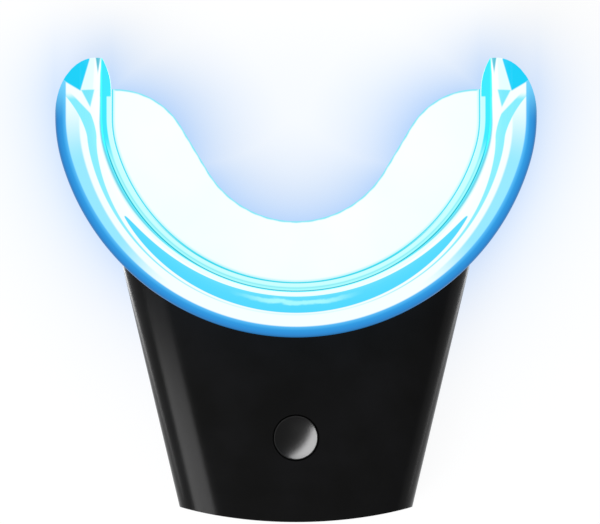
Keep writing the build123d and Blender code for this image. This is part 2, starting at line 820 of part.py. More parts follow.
contact_length = port_length - 4 * tongue_recess
contact_z = tongue_thickness / 2 + contact_thickness / 2
with BuildPart() as port_contacts:
    with BuildSketch(Plane.XZ.offset(-port_mouth_y - 1.5 * tongue_recess)):
        for side in (-1, 1):
            with Locations((0, port_z + side * contact_z)):
                with GridLocations(contact_pitch, 1, contact_count, 1):
                    Rectangle(contact_width, contact_thickness)
    extrude(amount=-contact_length)
port_contacts.part.label = "port_contacts"
export_step(port_contacts.part, "parts/port_contacts.step")

with BuildPart() as port_gasket:
    with BuildSketch(Plane.XZ.offset(-gasket_y)):
        with Locations((0, port_z)):
            gasket_inner_height = port_height + 2 * press_gap
            SlotOverall(gasket_outer_width, gasket_inner_height + 2 * gasket_band)
            SlotOverall(gasket_inner_width, gasket_inner_height, mode=Mode.SUBTRACT)
    extrude(amount=-gasket_thickness)
port_gasket.part.label = "port_gasket"
export_step(port_gasket.part, "parts/port_gasket.step")
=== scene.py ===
import bpy
from math import acos, asin, atan2, cos, pi, radians, sin, sqrt
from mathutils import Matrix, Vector


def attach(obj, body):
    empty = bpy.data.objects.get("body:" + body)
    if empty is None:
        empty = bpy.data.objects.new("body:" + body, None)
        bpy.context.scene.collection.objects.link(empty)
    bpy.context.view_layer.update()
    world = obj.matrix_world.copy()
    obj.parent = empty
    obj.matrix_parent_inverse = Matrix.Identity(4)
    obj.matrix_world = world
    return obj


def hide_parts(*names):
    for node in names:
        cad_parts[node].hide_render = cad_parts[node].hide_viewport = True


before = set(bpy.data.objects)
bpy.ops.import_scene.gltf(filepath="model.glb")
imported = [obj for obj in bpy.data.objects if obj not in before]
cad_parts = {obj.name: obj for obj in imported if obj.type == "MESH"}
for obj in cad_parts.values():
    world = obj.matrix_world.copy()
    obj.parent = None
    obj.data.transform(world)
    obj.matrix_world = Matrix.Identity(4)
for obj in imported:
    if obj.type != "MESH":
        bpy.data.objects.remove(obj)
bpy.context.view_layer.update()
mm = 0.001
hair = 0.01  # mm, under which two sizes count as the same
print("frame loaded")


# general helpers

def deselectAll():
    if bpy.context.object and bpy.context.object.mode != "OBJECT":
        bpy.ops.object.mode_set(mode="OBJECT")
    bpy.ops.object.select_all(action="DESELECT")


def makeActive(piece):
    deselectAll()
    piece.select_set(True)
    bpy.context.view_layer.objects.active = piece


def editAll(piece):
    makeActive(piece)
    bpy.ops.object.mode_set(mode="EDIT")
    bpy.ops.mesh.select_all(action="SELECT")


def tidyMesh(piece, angle=35, gap=0.00001):
    # merges doubles, turns faces outwards and smooths all but the sharp edges
    editAll(piece)
    bpy.ops.mesh.remove_doubles(threshold=gap)
    bpy.ops.mesh.normals_make_consistent(inside=False)
    bpy.ops.object.mode_set(mode="OBJECT")
    bpy.ops.object.shade_smooth_by_angle(angle=radians(angle))


def applyModifier(piece, kind, **settings):
    makeActive(piece)
    modifier = piece.modifiers.new(kind.lower(), kind)
    for key, value in settings.items():
        setattr(modifier, key, value)
    bpy.ops.object.modifier_apply(modifier=modifier.name)


def smoothCopy(node, name):
    # a merged and smoothed copy of a rigid piece of the frame
    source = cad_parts[node]
    deselectAll()
    piece = bpy.data.objects.new(name, source.data.copy())
    bpy.context.scene.collection.objects.link(piece)
    piece.matrix_world = source.matrix_world.copy()
    makeActive(piece)
    bpy.ops.object.transform_apply(location=True, rotation=True, scale=True)
    editAll(piece)
    bpy.ops.mesh.remove_doubles(threshold=0.000002)
    bpy.ops.object.mode_set(mode="OBJECT")
    bpy.ops.object.shade_smooth_by_angle(angle=radians(28))
    return piece


def fitOut(piece, body, material, slot, *nodes):
    piece.data.materials.clear()
    piece.data.materials.append(material)
    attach(piece, body)
    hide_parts(*nodes)


# material helpers

def colour(red, green, blue):
    # a colour as seen on screen, made linear
    parts = []
    for part in (red, green, blue):
        part = part / 255
        parts.append(part / 12.92 if part <= 0.04045 else ((part + 0.055) / 1.055) ** 2.4)
    return (*parts, 1.0)


class Recipe:
    # a material's node tree with short ways to add to it
    def __init__(self, name, roughness=0.4, metallic=0.0):
        self.material = bpy.data.materials.new(name)
        self.material.use_nodes = True
        self.tree = self.material.node_tree
        self.surface = self.tree.nodes["Principled BSDF"]
        self.surface.inputs["Roughness"].default_value = roughness
        self.surface.inputs["Metallic"].default_value = metallic

    def node(self, kind, **settings):
        made = self.tree.nodes.new(kind)
        for key, value in settings.items():
            setattr(made, key, value)
        return made

    def link(self, value, socket):
        # a number or a colour is set, and a node's output is linked
        if isinstance(value, (int, float, tuple)):
            socket.default_value = value
        else:
            self.tree.links.new(value, socket)

    def sum(self, operation, first, second=0.0, third=0.0, clamp=False):
        made = self.node("ShaderNodeMath", operation=operation, use_clamp=clamp)
        for value, socket in zip((first, second, third), made.inputs):
            self.link(value, socket)
        return made.outputs[0]

    def times(self, first, second):
        return self.sum("MULTIPLY", first, second)

    def line(self, value, slope, start):
        return self.sum("MULTIPLY_ADD", value, slope, start)

    def step(self, value, low, high):
        # 0 below low, 1 above high, smooth between
        made = self.node("ShaderNodeMapRange", interpolation_type="SMOOTHSTEP")
        for part, socket in zip((value, low, high), made.inputs):
            self.link(part, socket)
        return made.outputs[0]

    def band(self, value, low, high, soft):
        # 1 between low and high, with soft ends
        rise = self.step(value, self.sum("SUBTRACT", low, soft), self.sum("ADD", low, soft))
        fall = self.step(value, self.sum("SUBTRACT", high, soft), self.sum("ADD", high, soft))
        return self.sum("SUBTRACT", rise, fall, clamp=True)

    def side(self, x, y, first, second, soft=0.12):
        # 1 on the left of the line from the first point to the second
        across, up = second[0] - first[0], second[1] - first[1]
        size = sqrt(across ** 2 + up ** 2)
        off = self.line(x, -up / size, (first[0] * up - first[1] * across) / size)
        return self.step(self.line(y, across / size, off), -soft, soft)

    def patch(self, x, y, *corners):
        # 1 inside a convex outline given anticlockwise
        share = 1.0
        for first, second in zip(corners, corners[1:] + corners[:1]):
            share = self.times(share, self.side(x, y, first, second))
        return share

    def mix(self, share, under, over):
        made = self.node("ShaderNodeMix", data_type="RGBA")
        self.link(share, made.inputs["Factor"])
        self.link(under, made.inputs[6])
        self.link(over, made.inputs[7])
        return made.outputs[2]

    def ramp(self, value, *stops):
        made = self.node("ShaderNodeValToRGB")
        marks = made.color_ramp.elements
        while len(marks) < len(stops):
            marks.new(1.0)
        for mark, (place, shade) in zip(marks, stops):
            mark.position = place
            mark.color = shade
        self.link(value, made.inputs[0])
        return made.outputs[0]

    def noise(self, scale, detail=3.0):
        place = self.node("ShaderNodeTexCoord")
        made = self.node("ShaderNodeTexNoise")
        made.inputs["Scale"].default_value = scale
        made.inputs["Detail"].default_value = detail
        self.tree.links.new(place.outputs["Object"], made.inputs["Vector"])
        return made.outputs["Fac"]

    def bump(self, height, strength, distance):
        made = self.node("ShaderNodeBump")
        made.inputs["Strength"].default_value = strength
        made.inputs["Distance"].default_value = distance
        self.link(height, made.inputs["Height"])
        self.link(made.outputs[0], self.surface.inputs["Normal"])

    def glow(self, painted):
        # silicone lit from within: most of its colour is its own light
        matt = self.mix(litWithin["dimmed"], painted, (0.0, 0.0, 0.0, 1.0))
        self.link(matt, self.surface.inputs["Base Color"])
        self.link(painted, self.surface.inputs["Emission Color"])
        self.surface.inputs["Emission Strength"].default_value = litWithin["strength"]
        self.surface.inputs["Specular IOR Level"].default_value = litWithin["specular"]

    def place(self):
        # x, y and z in metres
        split = self.node("ShaderNodeSeparateXYZ")
        self.link(self.node("ShaderNodeTexCoord").outputs["Object"], split.inputs[0])
        return split.outputs

    def facing(self):
        # 1 where the surface faces straight up or down, 0 where it stands upright
        split = self.node("ShaderNodeSeparateXYZ")
        self.link(self.node("ShaderNodeTexCoord").outputs["Normal"], split.inputs[0])
        return self.sum("ABSOLUTE", split.outputs[2])

    def attribute(self, name):
        return self.node("ShaderNodeAttribute", attribute_name=name).outputs["Fac"]


litWithin = {"dimmed": 0.93, "strength": 0.99, "specular": 0.15}
mottled = {"dark": 0.3, "light": 0.7, "glossSpread": 0.12, "gritTimes": 6}


def plainFinish(name, light, dark, scale, roughness, metallic=0.0, bump=0.1, grit=0.00005):
    # a moulded or plated finish: slightly uneven colour and gloss, and a fine surface
    recipe = Recipe(name, roughness, metallic)
    mottle = recipe.noise(scale)
    tone = recipe.ramp(mottle, (mottled["dark"], dark), (mottled["light"], light))
    recipe.link(tone, recipe.surface.inputs["Base Color"])
    spread = recipe.line(mottle, mottled["glossSpread"], roughness - mottled["glossSpread"] / 2)
    recipe.link(spread, recipe.surface.inputs["Roughness"])
    recipe.bump(recipe.noise(scale * mottled["gritTimes"]), bump, grit)
    return recipe


# the tray's rim line, seen from above

tray = {
    "width": 65.0, "frontY": -6.4, "tipY": 31.4, "sideRadius": 22.0, "sideAngle": radians(16.8),
    "height": 23.0, "wall": 1.4, "bead": 0.8, "flange": 6.2, "waistHalf": 2.4,
    "innerTrim": radians(2.1), "outerTrim": radians(2.4),
    "ledge": 1.2, "ledgeHalf": 2.1, "slot": 0.9, "slotHalf": 0.8, "ledgeEndY": 27.2,
    "straightEndY": 23.4, "tipCorner": 4.3, "tipLift": 0.2, "tipRoundAcross": 5.5, "tipRoundAlong": 7.8,
    "arcSteps": 12, "beadSteps": 12, "frontSteps": 56, "sideSteps": 12, "tipSteps": 16,
}
halfWidth = tray["width"] / 2
midZ = tray["height"] / 2
sideX = halfWidth - tray["sideRadius"]
frontRadius = tray["sideRadius"] + sideX / cos(tray["sideAngle"])
frontCentreY = tray["frontY"] + frontRadius
widestY = frontCentreY - sideX * sin(tray["sideAngle"]) / cos(tray["sideAngle"])
wallRoot = tray["flange"] - tray["wall"] / 2
flareReach = wallRoot - tray["bead"]
flareRise = midZ - tray["waistHalf"] - tray["bead"]
flareRadius = (flareReach ** 2 + flareRise ** 2) / (2 * flareReach)
flareCentre = wallRoot - flareRadius
frontSpan = frontRadius * (pi / 2 - tray["sideAngle"])
rimSpan = frontSpan + tray["sideRadius"] * tray["sideAngle"]


def rimPlace(x, y):
    # distance along the rim from the middle of the front, and distance inward from it
    x = abs(x)
    if y > widestY:
        return rimSpan + y - widestY, halfWidth - x
    turn = atan2(x, frontCentreY - y)
    if turn < pi / 2 - tray["sideAngle"]:
        return frontRadius * turn, frontRadius - sqrt(x ** 2 + (frontCentreY - y) ** 2)
    across = x - sideX
    turn = atan2(across, widestY - y) - (pi / 2 - tray["sideAngle"])
    return frontSpan + tray["sideRadius"] * turn, tray["sideRadius"] - sqrt(across ** 2 + (widestY - y) ** 2)


def tipEndY(height, inset):
    # where the tray's side ends, rounded off seen from the side and seen from above
    corner = tray["tipCorner"]
    past = min(max(abs(height) - (midZ + tray["tipLift"] - corner), 0), corner)
    side = tray["tipY"] - corner + sqrt(corner ** 2 - past ** 2)
    off = min(max(1 - inset / tray["tipRoundAcross"], 0), 1)
    return min(side, tray["tipY"] - tray["tipRoundAlong"] * (1 - sqrt(1 - off ** 2)))


def traySection():
    # the upper half of the wall's section, as inset and height: from the slot over the inner side
    # to the bead, and back down the outer side
    inner = flareRadius + tray["wall"] / 2
    outer = flareRadius - tray["wall"] / 2
    beadHeight = midZ - tray["bead"]
    lean = atan2(beadHeight - tray["waistHalf"], tray["bead"] - flareCentre)
    spread = acos(tray["wall"] / 2 / tray["bead"])
    edge = tray["flange"] + tray["ledge"]
    points = [(edge - tray["slot"], tray["slotHalf"]), (edge, tray["slotHalf"]), (edge, tray["ledgeHalf"])]
    points += [(tray["flange"], tray["ledgeHalf"])]
    for step in range(tray["arcSteps"] + 1):
        turn = (lean - tray["innerTrim"]) * step / tray["arcSteps"]
        points.append((flareCentre + inner * cos(turn), tray["waistHalf"] + inner * sin(turn)))
    for step in range(1, tray["beadSteps"]):
        turn = lean - spread + (pi + 2 * spread) * step / tray["beadSteps"]
        points.append((tray["bead"] * (1 + cos(turn)), beadHeight + tray["bead"] * sin(turn)))
    for step in range(tray["arcSteps"], -1, -1):
        turn = (lean - tray["outerTrim"]) * step / tray["arcSteps"]
        points.append((flareCentre + outer * cos(turn), tray["waistHalf"] + outer * sin(turn)))
    return points


def shapeStation(piece, share):
    # moves the row of points just drawn out to its place along the tip; past its end the ledge narrows
    bpy.ops.object.mode_set(mode="OBJECT")
    edge = tray["flange"] + tray["ledge"]
    for vertex in piece.data.vertices:
        if not vertex.select:
            continue
        height = vertex.co.z / mm - midZ
        inset = halfWidth - vertex.co.x / mm
        start = tray["straightEndY"]
        y = start + (tipEndY(height, inset) - start) * share
        vertex.co.y = y * mm
        if abs(height) < tray["ledgeHalf"] + hair and inset > tray["flange"] + hair:
            past = max(y - tray["ledgeEndY"], 0) / (tray["tipY"] - tray["ledgeEndY"])
            vertex.co.x = (halfWidth - tray["flange"] - tray["ledge"] * (1 - past ** 2)) * mm
    bpy.ops.object.mode_set(mode="EDIT")


def makeTray():
    upper = traySection()
    section = upper + [(inset, -height) for inset, height in reversed(upper)]
    deselectAll()
    bpy.ops.mesh.primitive_circle_add(vertices=len(section), radius=mm)
    piece = bpy.context.object
    piece.name = "tray_wall_flanges"
    for vertex, (inset, height) in zip(piece.data.vertices, section):
        vertex.co = Vector((0, tray["frontY"] + inset, midZ + height)) * mm
    editAll(piece)
    turn = pi / 2 - tray["sideAngle"]
    centre = (0, frontCentreY * mm, 0)
    bpy.ops.mesh.spin(steps=tray["frontSteps"], angle=-turn, center=centre, axis=(0, 0, 1))
    centre = (sideX * mm, widestY * mm, 0)
    bpy.ops.mesh.spin(steps=tray["sideSteps"], angle=-tray["sideAngle"], center=centre, axis=(0, 0, 1))
    for step in range(tray["tipSteps"]):
        bpy.ops.mesh.extrude_region_move(TRANSFORM_OT_translate={"value": (0, mm, 0)})
        shapeStation(piece, (step + 1) / tray["tipSteps"])
    bpy.ops.mesh.fill()
    bpy.ops.mesh.tris_convert_to_quads()
    bpy.ops.object.mode_set(mode="OBJECT")
    applyModifier(piece, "MIRROR", use_axis=(True, False, False), use_clip=True, merge_threshold=0.00001)
    tidyMesh(piece, angle=40)
    markRim(piece)
    return piece


def markRim(piece):
    # keeps, for the colours, how far each point lies along the rim and inward from it; on the
    # outer side the distance inward counts as less than 0
    along = piece.data.attributes.new("along", "FLOAT", "POINT")
    inset = piece.data.attributes.new("inset", "FLOAT", "POINT")
    for index, vertex in enumerate(piece.data.vertices):
        place = vertex.co / mm
        travelled, inward = rimPlace(place.x, place.y)
        height = abs(place.z - midZ)
        lean = min(max((height - tray["waistHalf"]) / flareRadius, 0), 1)
        middle = flareCentre + flareRadius * sqrt(1 - lean ** 2)
        beneath = inward < middle and height < midZ - tray["bead"]
        along.data[index].value = travelled
        inset.data[index].value = -inward if beneath else inward


# the lit silicone's colours, with painted highlights, reflections and shade, set by the distance along the rim and
# inward from it

siliconeColours = {
    "white": colour(244, 254, 255), "rimDeep": colour(40, 108, 164), "rimMid": colour(44, 134, 206),
    "rimBlue": colour(48, 152, 222), "rimSky": colour(84, 186, 246), "rimTip": colour(116, 212, 251),
    "paleBlue": colour(150, 230, 254), "paleCyan": colour(132, 234, 254), "lens": colour(73, 213, 252),
    "sheen": colour(160, 244, 255), "nearGroove": colour(222, 254, 255), "grooveShade": colour(30, 178, 200),
    "ledgeFoot": colour(162, 252, 254), "ledgeLine": colour(150, 228, 240), "ledge": colour(200, 252, 254),
    "joint": colour(52, 211, 230), "column": colour(62, 230, 253), "tipBlue": colour(26, 206, 245),
    "tipPale": colour(226, 253, 255), "tipVee": colour(118, 228, 246), "underside": colour(96, 188, 240),
    "waist": colour(176, 236, 254),
}

# bands: low, high and softness; steps: where they are 0 and 1; lines: slope and start; the lens-shaped reflection:
# power and reach.
# Sizes across are in millimetres inward from the rim, and sizes along run from 0 at the front to 1 at the tips.
# bendFrom, bendOver, secondEnd, columnStart and the corners of beadEnd go by y in millimetres
siliconeBands = {
    "roughness": 0.09, "wedgeTop": 1.3, "wedgeLow": (2.1, 1.48), "wedgeSoft": 0.16, "wedgeSpan": (0.42, 0.83, 0.1),
    "bendFrom": 20.6, "bendOver": 5.3, "bendPower": 1.65, "bendReach": 2.75,
    "secondTop": (1.75, 2.97), "secondLow": (4.3, 3.16), "secondSoft": 0.07, "secondEnd": (26.8, 25.6),
    "secondRise": (0.1, 0.4), "secondShare": (0.75, 0.25),
    "lensEnd": (0.556, 0.55), "lensLine": 4.44, "lensTop": (0.8, -1.13), "lensLow": (0.45, 1.08), "lensSoft": 0.05,
    "waveScale": 420, "wave": (0.9, 4.0), "sheenWidth": 0.55, "sheenSoft": 0.16, "sheenEnd": (0.2, 0.06),
    "nearGroove": (5.56, 7.4, 0.04), "nearGrooveEnd": (0.9, 0.5),
    "grooveSpan": (0.45, 0.88, 0.2), "grooveHalf": (0.3, 0.1), "grooveOutside": 1.6, "grooveInside": 0.6,
    "ledgeFoot": (6.28, 6.4), "ledgeLine": (6.58, 6.7, 0.05), "ledge": (6.74, 6.86),
    "joint": (7.24, 7.32), "jointEnd": (0.6, 0.3), "column": (6.05, 6.85, 0.08), "columnStart": (17.0, 21.0),
    "facetLevel": (0.08, 0.2), "rimReach": 1.5, "rimStops": (0.0, 0.25, 0.62, 0.92), "rimTip": (0.84, 0.96),
    "beadEdge": (1.56, 1.36), "beadEnd": ((1.6, 28.0), (0.0, 29.2)),
    "waist": (8.5, 1.0), "streakScale": 70, "streak": (0.5, -0.2), "outside": (-0.1, -2.2),
    "rippleScale": 900, "ripple": (0.04, 0.00004),
}

# facets of the tips: colour, and corners as distance inward from the rim and y, in millimetres
tipFacets = (
    ("white", (0.8, 28.0), (4.7, 23.9), (6.2, 30.4), (6.0, 31.6), (0.0, 32.0)),
    ("tipBlue", (1.2, 28.2), (3.4, 26.9), (4.65, 31.2), (3.0, 33.0), (-1.0, 30.0)),
    ("tipPale", (3.5, 26.9), (5.0, 26.0), (5.3, 31.4), (4.75, 31.4)),
    ("tipVee", (3.5, 27.0), (4.7, 24.7), (5.25, 27.1)),
    ("grooveShade", (5.4, 31.5), (5.7, 29.3), (6.07, 31.5)),
    ("column", (6.1, 26.2), (7.6, 26.2), (7.6, 32.0), (6.1, 32.0)),
)


def clearSilicone():
    shade, size = siliconeColours, siliconeBands
    recipe = Recipe("clear_silicone", size["roughness"])
    length = rimSpan + tray["tipY"] - widestY
    along = recipe.sum("DIVIDE", recipe.attribute("along"), length)
    inset = recipe.attribute("inset")
    y, z = [recipe.times(part, 1 / mm) for part in recipe.place()[1:]]
    # painted reflection: a pale wedge beside the rim, widest at the cheeks
    wedge = recipe.band(inset, size["wedgeTop"], recipe.line(along, *size["wedgeLow"]), size["wedgeSoft"])
    wedge = recipe.times(wedge, recipe.band(along, *size["wedgeSpan"]))
    painted = recipe.mix(wedge, shade["white"], shade["paleBlue"])
    # painted reflection: a second pale band, a line at the front, that bends out to the bead near the tips
    past = recipe.line(y, 1 / size["bendOver"], -size["bendFrom"] / size["bendOver"])
    past = recipe.sum("POWER", recipe.sum("MAXIMUM", past, 0.0), size["bendPower"])
    bent = recipe.sum("ADD", inset, recipe.times(past, size["bendReach"]))
    upper = recipe.line(recipe.sum("POWER", along, 2.0), *size["secondTop"])
    lower = recipe.line(recipe.sum("POWER", along, 3.0), *size["secondLow"])
    second = recipe.band(bent, upper, lower, size["secondSoft"])
    second = recipe.times(second, recipe.step(y, *size["secondEnd"]))
    second = recipe.times(second, recipe.line(recipe.step(along, *size["secondRise"]), *size["secondShare"]))
    painted = recipe.mix(second, painted, shade["paleCyan"])
    # painted reflection: a blue lens-shaped band in the front of the flange, with a painted wavy sheen in its
    # middle
    share = recipe.sum("POWER", recipe.sum("DIVIDE", along, size["lensEnd"][0]), 2.0)
    share = recipe.sum("SUBTRACT", 1.0, share, clamp=True)
    edges = []
    for power, reach in (size["lensTop"], size["lensLow"]):
        edges.append(recipe.line(recipe.sum("POWER", share, power), reach, size["lensLine"]))
    lens = recipe.times(recipe.band(inset, *edges, size["lensSoft"]), recipe.step(along, *size["lensEnd"]))
    painted = recipe.mix(lens, painted, shade["lens"])
    wave = recipe.line(recipe.noise(size["waveScale"]), *size["wave"])
    sheen = recipe.band(inset, wave, recipe.sum("ADD", wave, size["sheenWidth"]), size["sheenSoft"])
    sheen = recipe.times(sheen, recipe.step(along, *size["sheenEnd"]))
    painted = recipe.mix(sheen, painted, shade["sheen"])
    near = recipe.times(recipe.band(inset, *size["nearGroove"]), recipe.step(along, *size["nearGrooveEnd"]))
    painted = recipe.mix(near, painted, shade["nearGroove"])
    # painted shade in the groove at the foot of the flange, and the lines of the ledge
    half = recipe.line(recipe.band(along, *size["grooveSpan"]), *size["grooveHalf"])
    gap = recipe.sum("ABSOLUTE", recipe.sum("SUBTRACT", inset, tray["flange"]))
    outside = recipe.times(half, size["grooveOutside"])
    grooveShade = recipe.step(gap, outside, recipe.times(half, size["grooveInside"]))
    painted = recipe.mix(grooveShade, painted, shade["grooveShade"])
    painted = recipe.mix(recipe.step(inset, *size["ledgeFoot"]), painted, shade["ledgeFoot"])
    painted = recipe.mix(recipe.band(inset, *size["ledgeLine"]), painted, shade["ledgeLine"])
    painted = recipe.mix(recipe.step(inset, *size["ledge"]), painted, shade["ledge"])
    joint = recipe.times(recipe.step(inset, *size["joint"]), recipe.step(along, *size["jointEnd"]))
    painted = recipe.mix(joint, painted, shade["joint"])
    # the tips, where the flange's end catches the light in facets
    column = recipe.times(recipe.band(inset, *size["column"]), recipe.step(y, *size["columnStart"]))
    painted = recipe.mix(column, painted, shade["column"])
    level = recipe.step(recipe.facing(), *size["facetLevel"])
    for name, *corners in tipFacets:
        painted = recipe.mix(recipe.times(recipe.patch(inset, y, *corners), level), painted, shade[name])
    # rim bead, painted shade from deep blue at its outer edge to sky blue, lighter at the tips
    stops = zip(size["rimStops"], (shade["rimDeep"], shade["rimMid"], shade["rimBlue"], shade["rimSky"]))
    rim = recipe.ramp(recipe.sum("DIVIDE", inset, size["rimReach"]), *stops)
    rim = recipe.mix(recipe.step(along, *size["rimTip"]), rim, shade["rimTip"])
    bead = recipe.times(recipe.step(inset, *size["beadEdge"]), recipe.side(inset, y, *size["beadEnd"]))
    painted = recipe.mix(bead, painted, rim)
    # the outer side of the flange, palest at the waist
    waist = recipe.step(recipe.sum("ABSOLUTE", recipe.sum("SUBTRACT", z, midZ)), *size["waist"])
    streaks = recipe.line(recipe.noise(size["streakScale"]), *size["streak"])
    outer = recipe.mix(recipe.sum("ADD", waist, streaks, clamp=True), shade["underside"], shade["waist"])
    painted = recipe.mix(recipe.step(inset, *size["outside"]), painted, outer)
    recipe.glow(painted)
    recipe.bump(recipe.noise(size["rippleScale"]), *size["ripple"])
    return recipe.material


def makePlate(size):
    # a strip between the tray's slot and the arch, given its thickness and rounded
    deselectAll()
    bpy.ops.mesh.primitive_grid_add(x_subdivisions=size["along"], y_subdivisions=size["across"], size=2)
    piece = bpy.context.object
    piece.name = "bite_plate_body"
    molarX = halfWidth - size["molarInset"]
    molarY = size["endY"] - size["molarRadius"]
    flank = size["flankAngle"]
    archRadius = cos(flank) * molarX + sin(flank) * (size["archY"] - molarY) - size["molarRadius"]
    archRadius /= 1 - sin(flank)
    archY = size["archY"] + archRadius
    archArc = archRadius * (pi / 2 - flank)
    molarArc = size["molarRadius"] * (pi / 2 - flank)
    start = Vector((archRadius * cos(flank), archY - archRadius * sin(flank)))
    end = Vector((molarX - size["molarRadius"] * cos(flank), molarY + size["molarRadius"] * sin(flank)))
    straight = (end - start).length
    innerLength = archArc + straight + molarArc

    def innerPoint(share):
        gone = share * innerLength
        if gone <= archArc:
            turn = gone / archRadius
            return Vector((archRadius * sin(turn), archY - archRadius * cos(turn)))
        if gone <= archArc + straight:
            return start.lerp(end, (gone - archArc) / straight)
        turn = pi - flank - (gone - archArc - straight) / size["molarRadius"]
        return Vector((molarX + size["molarRadius"] * cos(turn), molarY + size["molarRadius"] * sin(turn)))

    def outerPoint(share):
        inset = size["inset"]
        front = (frontRadius - inset) * (pi / 2 - tray["sideAngle"])
        side = (tray["sideRadius"] - inset) * tray["sideAngle"]
        gone = share * (front + side + size["endY"] - widestY)
        if gone <= front:
            turn = gone / (frontRadius - inset)
            return Vector(((frontRadius - inset) * sin(turn), frontCentreY - (frontRadius - inset) * cos(turn)))
        if gone <= front + side:
            turn = pi / 2 - tray["sideAngle"] + (gone - front) / (tray["sideRadius"] - inset)
            reach = tray["sideRadius"] - inset
            return Vector((sideX + reach * sin(turn), widestY - reach * cos(turn)))
        return Vector((halfWidth - inset, widestY + gone - front - side))

    for vertex in piece.data.vertices:
        share = (vertex.co.x + 1) / 2
        place = outerPoint(share).lerp(innerPoint(share), (vertex.co.y + 1) / 2)
        vertex.co = Vector((place.x, place.y, midZ + size["thickness"] / 2)) * mm
    editAll(piece)
    bpy.ops.mesh.extrude_region_move(TRANSFORM_OT_translate={"value": (0, 0, -size["thickness"] * mm)})
    bpy.ops.mesh.select_all(action="SELECT")
    bpy.ops.mesh.normals_make_consistent(inside=False)
    bpy.ops.object.mode_set(mode="OBJECT")
    applyModifier(piece, "MIRROR", use_axis=(True, False, False), use_clip=True, merge_threshold=0.00001)
    tidyMesh(piece)
    applyModifier(piece, "BEVEL", width=size["round"] * mm, segments=4,
                  limit_method="ANGLE", angle_limit=radians(50))
    tidyMesh(piece, angle=50, gap=0.000001)
    markRim(piece)
    arch = [innerPoint(step / size["edgeSteps"]) for step in range(size["edgeSteps"] + 1)]
    edge = piece.data.attributes.new("edge", "FLOAT", "POINT")
    for index, vertex in enumerate(piece.data.vertices):
        place = Vector((abs(vertex.co.x), vertex.co.y)) / mm
        edge.data[index].value = min((place - point).length for point in arch)
    return piece


plate = {
    "inset": 7.38, "endY": 27.2, "archY": 9.3, "flankAngle": radians(31.0), "molarRadius": 10.4, "molarInset": 8.0,
    "thickness": 2.6, "round": 0.55, "along": 72, "across": 14, "edgeSteps": 160,
}

frost = {
    "roughness": 0.38, "cloudScale": 60, "side": (0.9, 0.5), "jointLine": (0.005, 7.44), "seat": (0.42, 0.1),
    "joint": (-0.16, 0.02, 0.05), "arch": (0.34, 0.12), "grainScale": 2500, "grain": (0.08, 0.00003),
    "cloudDark": colour(240, 252, 254), "cloudLight": colour(249, 255, 255), "sideShade": colour(70, 216, 232),
    "seatTone": colour(206, 246, 251), "jointTone": colour(70, 222, 240), "archEdgeShade": colour(132, 228, 242),
}


def frostedSilicone():
    recipe = Recipe("frosted_silicone", frost["roughness"])
    cloud = recipe.noise(frost["cloudScale"])
    cloud = recipe.ramp(cloud, (mottled["dark"], frost["cloudDark"]), (mottled["light"], frost["cloudLight"]))
    # painted shade: darker cyan on the plate's upright sides
    painted = recipe.mix(recipe.step(recipe.facing(), *frost["side"]), cloud, frost["sideShade"])
    jointLine = recipe.line(recipe.attribute("along"), *frost["jointLine"])
    off = recipe.sum("SUBTRACT", recipe.attribute("inset"), jointLine)
    painted = recipe.mix(recipe.step(off, *frost["seat"]), painted, frost["seatTone"])
    painted = recipe.mix(recipe.band(off, *frost["joint"]), painted, frost["jointTone"])
    # painted shade: darker cyan along the plate's edge at the arch
    painted = recipe.mix(recipe.step(recipe.attribute("edge"), *frost["arch"]), painted, frost["archEdgeShade"])
    recipe.glow(painted)
    recipe.bump(recipe.noise(frost["grainScale"]), *frost["grain"])
    return recipe.material


# finishes for each slot of the frame

gloss = {
    "mottleScale": 140, "detail": 5.0, "dark": (0.35, colour(19, 19, 19)), "light": (0.65, colour(23, 23, 24)),
    "spread": 0.05, "waveScale": 420, "wave": (0.02, 0.00004),
}
package = {"light": colour(235, 240, 244), "dark": colour(216, 222, 228), "glow": colour(120, 210, 255),
           "strength": 2.0, "scale": 300, "roughness": 0.35}


def blackGloss(name, roughness, ior):
    recipe = Recipe(name, roughness)
    mottle = recipe.noise(gloss["mottleScale"], gloss["detail"])
    recipe.link(recipe.ramp(mottle, gloss["dark"], gloss["light"]), recipe.surface.inputs["Base Color"])
    spread = recipe.line(mottle, gloss["spread"], roughness - gloss["spread"] / 2)
    recipe.link(spread, recipe.surface.inputs["Roughness"])
    recipe.surface.inputs["IOR"].default_value = ior
    recipe.bump(recipe.noise(gloss["waveScale"]), *gloss["wave"])
    return recipe.material


def packageFinish():
    recipe = plainFinish("led_package", package["light"], package["dark"], package["scale"], package["roughness"])
    recipe.surface.inputs["Emission Color"].default_value = package["glow"]
    recipe.surface.inputs["Emission Strength"].default_value = package["strength"]
    return recipe.material


# light and dark tone, scale of the mottle, roughness, metallic and strength of the bump
plainLooks = {
    "clear_lens": ((226, 246, 252), (206, 236, 246), 90, 0.1, 0.0, 0.1),
    "grey_silicone": ((122, 126, 130), (104, 108, 112), 220, 0.6, 0.0, 0.1),
    "white_plastic": ((238, 239, 240), (226, 228, 230), 160, 0.45, 0.0, 0.1),
    "circuit_board": ((24, 92, 62), (14, 66, 44), 420, 0.4, 0.0, 0.1),
    "black_plastic": ((36, 36, 38), (26, 26, 28), 300, 0.5, 0.0, 0.1),
    "coil_ferrite": ((66, 64, 66), (48, 46, 48), 500, 0.7, 0.0, 0.1),
    "ceramic_tan": ((178, 146, 108), (156, 124, 88), 500, 0.5, 0.0, 0.1),
    "ribbon_film": ((206, 138, 42), (184, 112, 26), 260, 0.3, 0.0, 0.1),
    "battery_foil": ((196, 198, 202), (168, 170, 176), 240, 0.32, 0.9, 0.1),
    "dark_foam": ((52, 52, 54), (34, 34, 36), 1500, 0.9, 0.0, 0.5),
    "lead_red": ((176, 30, 28), (146, 20, 20), 240, 0.4, 0.0, 0.1),
    "steel": ((190, 192, 196), (166, 168, 172), 380, 0.26, 1.0, 0.1),
    "gold_contacts": ((232, 186, 92), (206, 156, 62), 380, 0.24, 1.0, 0.1),
}
